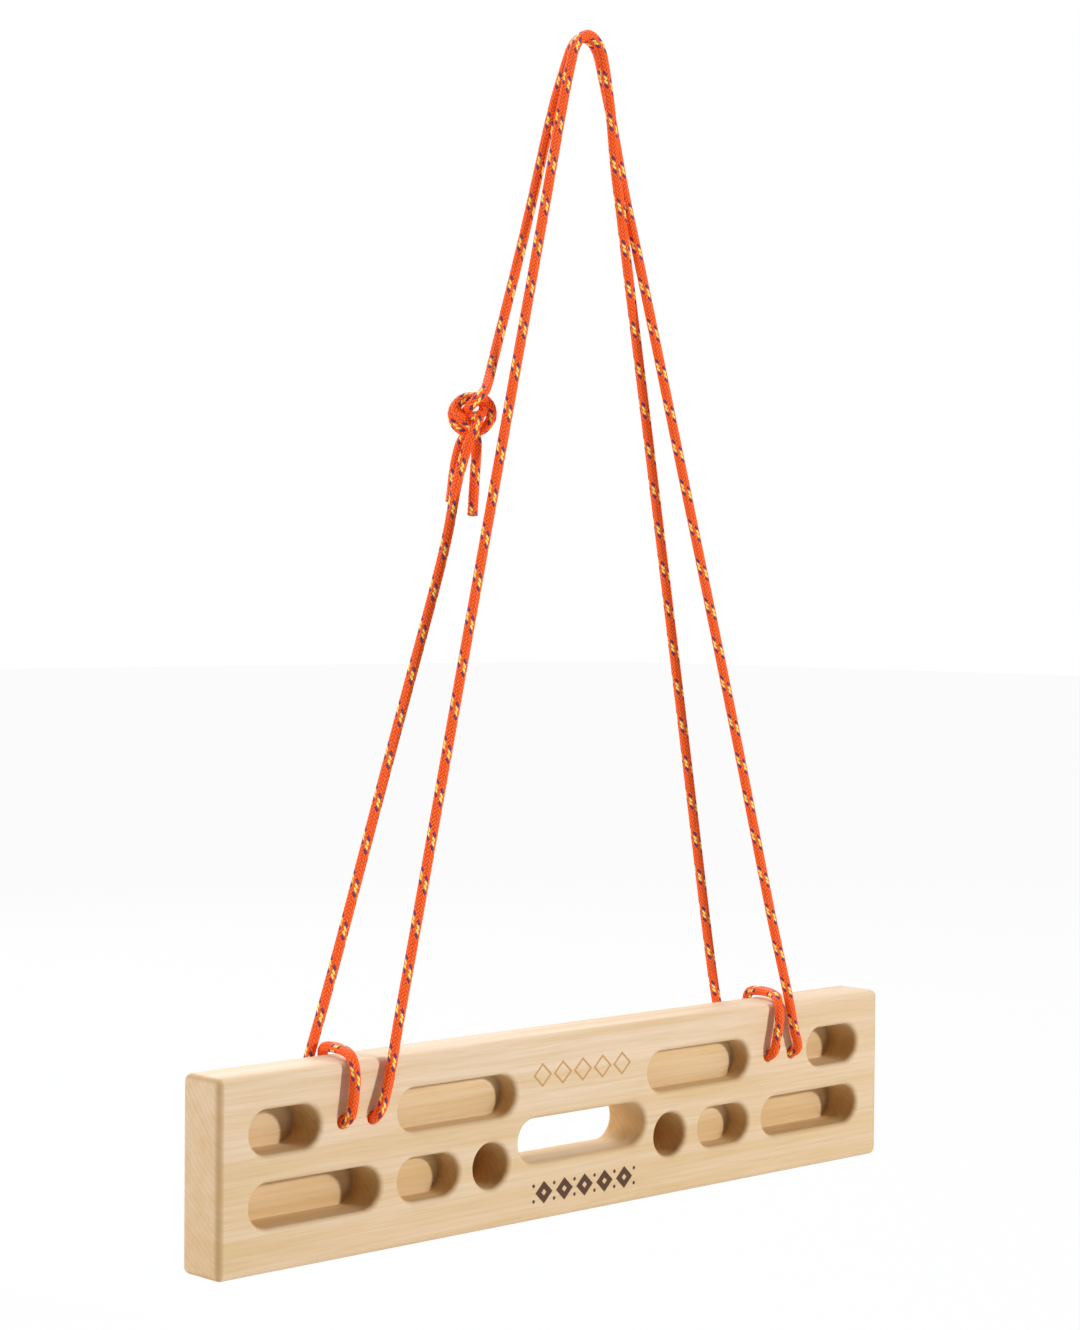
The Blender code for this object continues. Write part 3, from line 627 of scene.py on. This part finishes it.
def makeBoard(sizes, material):
    # a rounded block, less one cutter for each opening; the pockets are mirrored from the right half
    low = np.array([-sizes["length"] / 2, 0.0, -sizes["height"]])
    high = np.array([sizes["length"] / 2, sizes["thickness"], 0.0])
    block = roundedBlock(low, high, sizes["edgeRadius"], sizes["edgeSteps"])
    board = showPiece("woodenBoard", closedMesh("woodenBoard", block), None)
    lip = sizes["lipRadius"]
    places = [(*sizes["slot"], lip, None)]
    for near, far, row, height, depth in sizes["pockets"]:
        places += [(near, far, row, height, lip, depth), (-far, -near, row, height, lip, depth)]
    half = sizes["holeDiameter"] / 2
    for middle in (*sizes["holes"], *(-x for x in sizes["holes"])):
        places.append((middle - half, middle + half, sizes["holeRow"], 2 * half, sizes["holeLipRadius"],
                       None))
    cutters = []
    for place in places:
        cutter = showPiece("cutter", closedMesh("cutter", openingSurface(sizes, *place)), None)
        cut = board.modifiers.new("opening", "BOOLEAN")
        cut.operation = "DIFFERENCE"
        cut.solver = "EXACT"
        cut.object = cutter
        cutters.append(cutter)
    graph = bpy.context.evaluated_depsgraph_get()
    mesh = bpy.data.meshes.new_from_object(board.evaluated_get(graph))
    board.modifiers.clear()
    for cutter in cutters:
        bpy.data.objects.remove(cutter)
    board.data = mesh
    mesh.materials.clear()
    mesh.materials.append(material)
    # how far inside the plank each corner lies, as a share of the depth that counts as routed
    corners = np.zeros(len(mesh.vertices) * 3)
    mesh.vertices.foreach_get("co", corners)
    corners = corners.reshape(-1, 3) * 1000 + hangingPoint
    inside = np.clip(np.minimum(corners - low, high - corners).min(axis=1) / sizes["routedFrom"], 0, 1)
    for name, shares in (("routed", inside), ("burn", floorEdgeShadeShares(corners, sizes, places))):
        attribute = mesh.attributes.new(name, "FLOAT", "POINT")
        attribute.data.foreach_set("value", shares.astype(np.float32))
    mesh.shade_smooth()
    mesh.set_sharp_from_angle(angle=math.radians(sizes["sharpAngle"]))
    weighted = board.modifiers.new("evenShading", "WEIGHTED_NORMAL")
    weighted.keep_sharp = True
    weighted.weight = sizes["normalWeight"]
    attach(board, "hanging_board")
    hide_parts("board")
    print("board made,", len(mesh.polygons), "faces")


# Sanded, unvarnished pale wood: cream, with fine straight lengthwise lines where the growth rings
# run out at the front, the same rings as slanting lines on the end faces, and darker, streaked
# end grain on the routed pocket walls, darkened further by painted shade inside the pockets.
woodLook = {
    "light": "#e7cfb1", "dark": "#dabb8d", "ringLine": "#bb9158", "endGrain": "#c39c6c",
    "routedFloor": (0.92, 0.87, 0.74), "routedLong": (1.00, 0.98, 0.90), "routedAcross": (0.88, 0.75, 0.51),
    # painted shade: the first colour on the next line darkens the pocket floors along their end walls
    "burnAndShade": (0.60, 0.52, 0.43), "edgeShade": "#c09a6a", "lowerEdgeTone": 0.36,
    "roughness": 0.6, "specular": 0.3,
    "bumpStrength": 0.25, "bumpDepth": 0.12,       # depth in millimetres
    # millimetres, and for the patches and the waver parts of a pattern for each millimetre
    "ringSpacing": 3.2, "ringCentre": (0.0, -89.0, 75.0),
    "waver": 1.3, "waverScale": (0.004, 0.05, 0.05),   # waver in ring spacings
    "taper": 0.012,                                # growth of the rings' radius along the board
    "fibreWidth": 0.26, "fibreLength": 26.0, "fibreTone": 0.40,   # wider than real fibres, so that they show
    "patchScale": (0.006, 0.12, 0.12), "patchTone": 0.9,
    "ringsOnFace": 0.17, "ringsOnEnd": 0.22,       # strength of the rings, and what the end faces add to it
    "endTone": 0.30, "bandInFrom": 6.0,
}

# Ornament: two plain rows of lozenges burnt into the front face, a pale outlined one above the
# slot and a dark filled one with dots below it.
ornamentLook = {
    "paleRow": {"centre": (-1.2, 0.0, -21.3), "count": 5, "period": 15.2, "halfWidth": 7.0,
                "halfHeight": 6.6, "band": (0.88, 0.12), "dotRadius": 0.0, "dotHeight": 0.0,
                "colour": "#c08a46", "share": 0.85, "depth": 0.05},
    "burntRow": {"centre": (0.8, 0.0, -85.0), "count": 5, "period": 15.4, "halfWidth": 6.4,
                 "halfHeight": 6.2, "band": (0.64, 0.36), "dotRadius": 1.0, "dotHeight": 4.2,
                 "colour": "#46220e", "share": 0.97, "depth": 0.05},
}


def addOrnament(tree, place, row):
    # share = distance from the nearest lozenge's middle / half width + height from the row / half
    # height; the band of shares about its middle is burnt, and so is each dot between two lozenges
    centre = toWorld(row["centre"]).tolist()
    shifted = addNode(tree, "ShaderNodeVectorMath", {"operation": "SUBTRACT", 1: centre},
                      {0: place.outputs["Object"]})
    local = addNode(tree, "ShaderNodeVectorMath", {"operation": "SCALE", "Scale": 1000.0}, {0: shifted})
    sized = addNode(tree, "ShaderNodeVectorMath", {"operation": "ABSOLUTE"}, {0: local})
    split = addNode(tree, "ShaderNodeSeparateXYZ", links={0: sized})
    folded = addNode(tree, "ShaderNodeMath", {"operation": "PINGPONG", 1: row["period"] / 2},
                     {0: split.outputs[0]})
    height = addNode(tree, "ShaderNodeMath", {"operation": "DIVIDE", 1: row["halfHeight"]},
                     {0: split.outputs[2]})
    share = addNode(tree, "ShaderNodeMath", {"operation": "MULTIPLY_ADD", 1: 1 / row["halfWidth"]},
                    {0: folded, 2: height})
    middle, reach = row["band"]
    lozenge = addNode(tree, "ShaderNodeMath", {"operation": "COMPARE", 1: middle, 2: reach}, {0: share})
    across = addNode(tree, "ShaderNodeMath", {"operation": "SUBTRACT", 1: row["period"] / 2}, {0: folded})
    upward = addNode(tree, "ShaderNodeMath", {"operation": "SUBTRACT", 1: row["dotHeight"]},
                     {0: split.outputs[2]})
    fromDot = addNode(tree, "ShaderNodeCombineXYZ", links={0: across, 1: upward})
    away = addNode(tree, "ShaderNodeVectorMath", {"operation": "LENGTH"}, {0: fromDot})
    dot = addNode(tree, "ShaderNodeMath", {"operation": "LESS_THAN", 1: row["dotRadius"]},
                  {0: away.outputs["Value"]})
    either = addNode(tree, "ShaderNodeMath", {"operation": "MAXIMUM"}, {0: lozenge, 1: dot})
    rowEnd = row["count"] * row["period"] / 2 + row["dotRadius"]
    inRow = addNode(tree, "ShaderNodeMath", {"operation": "LESS_THAN", 1: rowEnd}, {0: split.outputs[0]})
    onFace = addNode(tree, "ShaderNodeMath", {"operation": "LESS_THAN", 1: row["depth"]},
                     {0: split.outputs[1]})
    there = addNode(tree, "ShaderNodeMath", {"operation": "MULTIPLY"}, {0: inRow, 1: onFace})
    return addNode(tree, "ShaderNodeMath", {"operation": "MULTIPLY"}, {0: either, 1: there})


def makeWoodMaterial(look, ornament, sizes):
    # rings = (distance from the ring centre's line + taper along the board + waver) / ring spacing
    material = bpy.data.materials.new("sandedPaleWood")
    material.use_nodes = True
    tree = material.node_tree
    shader = tree.nodes["Principled BSDF"]
    shader.inputs["Roughness"].default_value = look["roughness"]
    shader.inputs["Specular IOR Level"].default_value = look["specular"]
    place = addNode(tree, "ShaderNodeTexCoord")
    # millimetres from the centre of the growth rings
    centre = toWorld(look["ringCentre"]).tolist()
    shifted = addNode(tree, "ShaderNodeVectorMath", {"operation": "SUBTRACT", 1: centre},
                      {0: place.outputs["Object"]})
    local = addNode(tree, "ShaderNodeVectorMath", {"operation": "SCALE", "Scale": 1000.0}, {0: shifted})
    # slow waver of the rings along and across the board
    stretched = addNode(tree, "ShaderNodeVectorMath", {"operation": "MULTIPLY", 1: look["waverScale"]},
                        {0: local})
    waver = addNode(tree, "ShaderNodeTexNoise", {"Scale": 1.0, "Detail": 2.0, "Roughness": 0.4},
                    {"Vector": stretched})
    split = addNode(tree, "ShaderNodeSeparateXYZ", links={0: local})
    flat = addNode(tree, "ShaderNodeCombineXYZ", {0: 0.0}, {1: split.outputs[1], 2: split.outputs[2]})
    radius = addNode(tree, "ShaderNodeVectorMath", {"operation": "LENGTH"}, {0: flat})
    # the rings' radius grows slowly along the board, as a tapering trunk's does
    tapered = addNode(tree, "ShaderNodeMath", {"operation": "MULTIPLY_ADD", 1: look["taper"]},
                      {0: split.outputs[0], 2: radius.outputs["Value"]})
    wavered = addNode(tree, "ShaderNodeMath", {
        "operation": "MULTIPLY_ADD", 1: look["waver"] * look["ringSpacing"]}, {0: waver, 2: tapered})
    rings = addNode(tree, "ShaderNodeMath", {"operation": "DIVIDE", 1: look["ringSpacing"]}, {0: wavered})
    ring = addNode(tree, "ShaderNodeMath", {"operation": "FRACT"}, {0: rings})
    whole = addNode(tree, "ShaderNodeMath", {"operation": "FLOOR"}, {0: rings})
    # late wood darkens slowly through each ring and stops at a soft line
    late = addNode(tree, "ShaderNodeValToRGB", {"stops": [
        (0.0, (0.60, 0.60, 0.60, 1)), (0.12, (0.05, 0.05, 0.05, 1)), (0.55, (0.12, 0.12, 0.12, 1)),
        (0.88, (0.90, 0.90, 0.90, 1)), (1.0, (0.60, 0.60, 0.60, 1))]}, {0: ring})
    strength = addNode(tree, "ShaderNodeTexWhiteNoise", {"noise_dimensions": "1D"}, {"W": whole})
    uneven = addNode(tree, "ShaderNodeMapRange", {"To Min": 0.35, "To Max": 1.0},
                     {"Value": strength.outputs["Value"]})
    ringTone = addNode(tree, "ShaderNodeMath", {"operation": "MULTIPLY"}, {0: late, 1: uneven})
    # fibres: noise drawn out along the board
    fibreScale = (1 / look["fibreLength"], 1 / look["fibreWidth"], 1 / look["fibreWidth"])
    fibrePlace = addNode(tree, "ShaderNodeVectorMath", {"operation": "MULTIPLY", 1: fibreScale}, {0: local})
    fibre = addNode(tree, "ShaderNodeTexNoise", {"Scale": 1.0, "Detail": 3.0, "Roughness": 0.6},
                    {"Vector": fibrePlace})
    # long soft patches of darker wood
    patchPlace = addNode(tree, "ShaderNodeVectorMath", {"operation": "MULTIPLY", 1: look["patchScale"]},
                         {0: local})
    patch = addNode(tree, "ShaderNodeTexNoise", {"Scale": 1.0, "Detail": 4.0, "Roughness": 0.6},
                    {"Vector": patchPlace})
    # the plank is darker and yellower towards its lower edge
    topEdge = -look["ringCentre"][2]
    fromTop = addNode(tree, "ShaderNodeMapRange", {
        "From Min": topEdge, "From Max": topEdge - sizes["height"], "To Max": look["lowerEdgeTone"]},
        {"Value": split.outputs[2]})
    patchTone = addNode(tree, "ShaderNodeMapRange", {
        "From Min": 0.38, "From Max": 0.72, "To Max": look["patchTone"]}, {"Value": patch})
    darkness = addNode(tree, "ShaderNodeMath", {"operation": "ADD"}, {0: patchTone, 1: fromTop})
    ground = addNode(tree, "ShaderNodeMix", {
        "data_type": "RGBA", 6: toLinear(look["light"]), 7: toLinear(look["dark"])}, {0: darkness})
    # end grain shows where the surface faces along the board
    facing = addNode(tree, "ShaderNodeSeparateXYZ", links={0: place.outputs["Normal"]})
    across = addNode(tree, "ShaderNodeMath", {"operation": "ABSOLUTE"}, {0: facing.outputs[0]})
    endwise = addNode(tree, "ShaderNodeMath", {"operation": "POWER", 1: 3.0}, {0: across})
    ringStrength = addNode(tree, "ShaderNodeMath", {
        "operation": "MULTIPLY_ADD", 1: look["ringsOnEnd"], 2: look["ringsOnFace"]}, {0: endwise})
    ringShare = addNode(tree, "ShaderNodeMath", {"operation": "MULTIPLY"}, {0: ringTone, 1: ringStrength})
    ringed = addNode(tree, "ShaderNodeMix", {"data_type": "RGBA", 7: toLinear(look["ringLine"])},
                     {0: ringShare, 6: ground})
    fibreTone = addNode(tree, "ShaderNodeMapRange", {
        "From Min": 0.46, "From Max": 0.80, "To Max": look["fibreTone"]}, {"Value": fibre})
    fibred = addNode(tree, "ShaderNodeMix", {"data_type": "RGBA", 7: toLinear(look["ringLine"])},
                     {0: fibreTone, 6: ringed})
    endShare = addNode(tree, "ShaderNodeMath", {"operation": "MULTIPLY", 1: look["endTone"]}, {0: endwise})
    grained = addNode(tree, "ShaderNodeMix", {"data_type": "RGBA", 7: toLinear(look["endGrain"])},
                      {0: endShare, 6: fibred})
    # painted shade: the rounded end edges are painted browner where they turn between the front and the end
    # face
    edge = addNode(tree, "ShaderNodeValToRGB", {"stops": [
        (0.05, (0, 0, 0, 1)), (0.45, (0.5, 0.5, 0.5, 1)), (0.80, (0.6, 0.6, 0.6, 1)), (1.0, (0, 0, 0, 1))]},
        {0: across})
    fromMiddle = addNode(tree, "ShaderNodeMath", {"operation": "ABSOLUTE"}, {0: split.outputs[0]})
    atEnd = addNode(tree, "ShaderNodeMath", {
        "operation": "GREATER_THAN", 1: sizes["length"] / 2 - look["bandInFrom"]}, {0: fromMiddle})
    edgeShare = addNode(tree, "ShaderNodeMath", {"operation": "MULTIPLY"}, {0: edge, 1: atEnd})
    edged = addNode(tree, "ShaderNodeMix", {"data_type": "RGBA", 7: toLinear(look["edgeShade"])},
                    {0: edgeShare, 6: grained})
    # routed surfaces are browner: a little along the grain, a lot where they cut across it; this is partly
    # the end grain's own colour and partly painted shade inside the pockets
    routed = addNode(tree, "ShaderNodeAttribute", {"attribute_name": "routed"})
    upright = addNode(tree, "ShaderNodeMath", {"operation": "ABSOLUTE"}, {0: facing.outputs[2]})
    alongTint = addNode(tree, "ShaderNodeMix", {
        "data_type": "RGBA", 6: (*look["routedFloor"], 1), 7: (*look["routedLong"], 1)}, {0: upright})
    tint = addNode(tree, "ShaderNodeMix", {"data_type": "RGBA", 7: (*look["routedAcross"], 1)},
                   {0: across, 6: alongTint})
    routedColour = addNode(tree, "ShaderNodeMix", {"data_type": "RGBA", "blend_type": "MULTIPLY"},
                           {0: routed.outputs["Fac"], 6: edged, 7: tint})
    # painted shade: the floors are a little darker along their outline where it faces the end walls
    burn = addNode(tree, "ShaderNodeAttribute", {"attribute_name": "burn"})
    colour = addNode(tree, "ShaderNodeMix", {
        "data_type": "RGBA", "blend_type": "MULTIPLY", 7: (*look["burnAndShade"], 1)},
        {0: burn.outputs["Fac"], 6: routedColour})
    # the ornament's rows are burnt a little below the face
    relief = fibre
    for row in ornament.values():
        burnAndShade = addOrnament(tree, place, row)
        burntShare = addNode(tree, "ShaderNodeMath", {"operation": "MULTIPLY", 1: row["share"]}, {0: burnAndShade})
        colour = addNode(tree, "ShaderNodeMix", {"data_type": "RGBA", 7: toLinear(row["colour"])},
                         {0: burntShare, 6: colour})
        relief = addNode(tree, "ShaderNodeMath", {"operation": "SUBTRACT"}, {0: relief, 1: burntShare})
    tree.links.new(shownOutput(colour), shader.inputs["Base Color"])
    bump = addNode(tree, "ShaderNodeBump", {
        "Strength": look["bumpStrength"], "Distance": look["bumpDepth"] / 1000.0}, {"Height": relief})
    tree.links.new(bump.outputs[0], shader.inputs["Normal"])
    return material


woodMaterial = makeWoodMaterial(woodLook, ornamentLook, boardSizes)
makeBoard(boardSizes, woodMaterial)


# Studio: a pale floor under the board, a white surround and plain soft lamps.
studioLook = {
    "floorHeight": -0.80, "floorSize": 30.0, "floorColour": "#dedede", "floorRoughness": 0.9,
    "floorWhite": 0.96,      # share of plain white that the camera sees in the floor; the rest shows shadows
    "surroundLight": 0.09,   # the camera and glossy rays see the surround at 1, which is white
    # place, size, power and colour of each lamp; all point at the board
    "lamps": {
        "keyLamp": ((1.80, -4.34, 0.80), 0.38, 170.0, "#ffffff"),
        "topLamp": ((0.1, 0.6, 1.7), 1.6, 47.0, "#eef2ff"),
        "backLamp": ((1.2, 2.4, 0.7), 1.6, 28.0, "#ffffff"),
        "sideLamp": ((-2.2, 0.9, -0.1), 1.6, 39.0, "#ffffff"),
    },
    "aim": (0.0, 0.0, -0.50),
}


def makeStudio(look):
    world = bpy.data.worlds.new("whiteSurround")
    world.use_nodes = True
    bpy.context.scene.world = world
    tree = world.node_tree
    background = tree.nodes["Background"]
    rays = addNode(tree, "ShaderNodeLightPath")
    mirrored = addNode(tree, "ShaderNodeMath", {"operation": "MAXIMUM"},
                       {0: rays.outputs["Is Glossy Ray"], 1: rays.outputs["Is Transmission Ray"]})
    seen = addNode(tree, "ShaderNodeMath", {"operation": "MAXIMUM"},
                   {0: rays.outputs["Is Camera Ray"], 1: mirrored})
    strength = addNode(tree, "ShaderNodeMix", {"data_type": "FLOAT", 2: look["surroundLight"], 3: 1.0},
                       {0: seen})
    background.inputs["Color"].default_value = (1, 1, 1, 1)
    tree.links.new(shownOutput(strength), background.inputs["Strength"])

    floorMaterial = bpy.data.materials.new("paleStudioFloor")
    floorMaterial.use_nodes = True
    tree = floorMaterial.node_tree
    shader = tree.nodes["Principled BSDF"]
    shader.inputs["Base Color"].default_value = toLinear(look["floorColour"])
    shader.inputs["Roughness"].default_value = look["floorRoughness"]
    rays = addNode(tree, "ShaderNodeLightPath")
    white = addNode(tree, "ShaderNodeEmission", {"Color": (1, 1, 1, 1), "Strength": 1.0})
    share = addNode(tree, "ShaderNodeMath", {"operation": "MULTIPLY", 1: look["floorWhite"]},
                    {0: rays.outputs["Is Camera Ray"]})
    mixed = addNode(tree, "ShaderNodeMixShader", links={0: share, 1: shader, 2: white})
    tree.links.new(mixed.outputs[0], tree.nodes["Material Output"].inputs["Surface"])
    half, level = look["floorSize"] / 2, look["floorHeight"]
    mesh = bpy.data.meshes.new("studioFloor")
    mesh.from_pydata([(-half, -half, level), (half, -half, level), (half, half, level), (-half, half, level)],
                     [], [(0, 1, 2, 3)])
    showPiece("studioFloor", mesh, floorMaterial)

    for name, (place, size, power, colour) in look["lamps"].items():
        data = bpy.data.lights.new(name, "AREA")
        data.size = size
        data.energy = power
        data.color = toLinear(colour)[:3]
        lamp = bpy.data.objects.new(name, data)
        lamp.location = place
        toBoard = Vector(look["aim"]) - Vector(place)
        lamp.rotation_euler = toBoard.to_track_quat("-Z", "Y").to_euler()
        bpy.context.scene.collection.objects.link(lamp)
    bpy.context.scene.view_settings.view_transform = "Standard"
    print("studio set")


makeStudio(studioLook)

bpy.context.view_layer.update()
